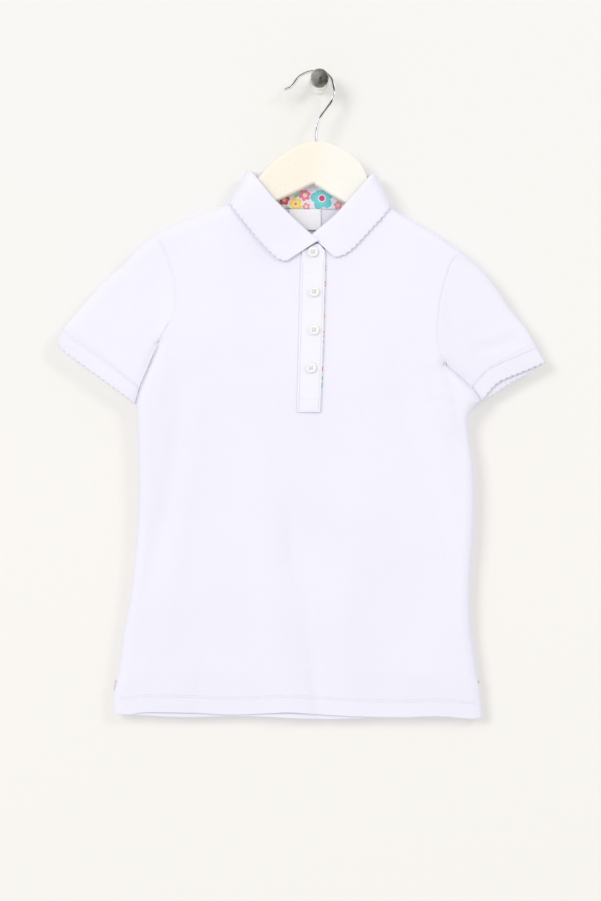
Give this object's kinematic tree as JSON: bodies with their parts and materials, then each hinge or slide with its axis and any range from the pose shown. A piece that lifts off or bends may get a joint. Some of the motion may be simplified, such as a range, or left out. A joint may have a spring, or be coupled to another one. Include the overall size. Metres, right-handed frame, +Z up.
{
  "type": "polo shirt on hanger",
  "caption": "Girl's short-sleeved polo shirt with scalloped collar and cuffs, hung on a broad hanger from a round wall peg.",
  "frame": {"origin": "centre of the wall peg's back face, on the wall", "axes": "+Z up, +Y into the wall, +X to the viewer's right of the shirt's front"},
  "size_m": [0.527, 0.038, 0.7034],
  "materials": {
    "body_cloth": "cotton pique knit",
    "rib_knit": "flat rib knit with picot edge",
    "floral_strip": "plain weave with printed flowers",
    "label": "blank satin",
    "buttons": "polished",
    "hanger": "satin",
    "hook_wire": "polished",
    "peg_steel": "brushed"
  },
  "bodies": {
    "root": {"front": "body_cloth", "back": "body_cloth", "sleeve_left": "body_cloth", "sleeve_right": "body_cloth", "placket": "body_cloth", "placket_under": "body_cloth", "collar": "rib_knit", "cuff_left": "rib_knit", "cuff_right": "rib_knit", "placket_facing": "floral_strip", "neck_tape": "floral_strip", "label": "label", "hanger": "hanger", "hanger_hook": "hook_wire", "wall_peg": "peg_steel", "button_1": "buttons", "button_2": "buttons", "button_3": "buttons", "button_4": "buttons"}
  },
  "joints": []
}
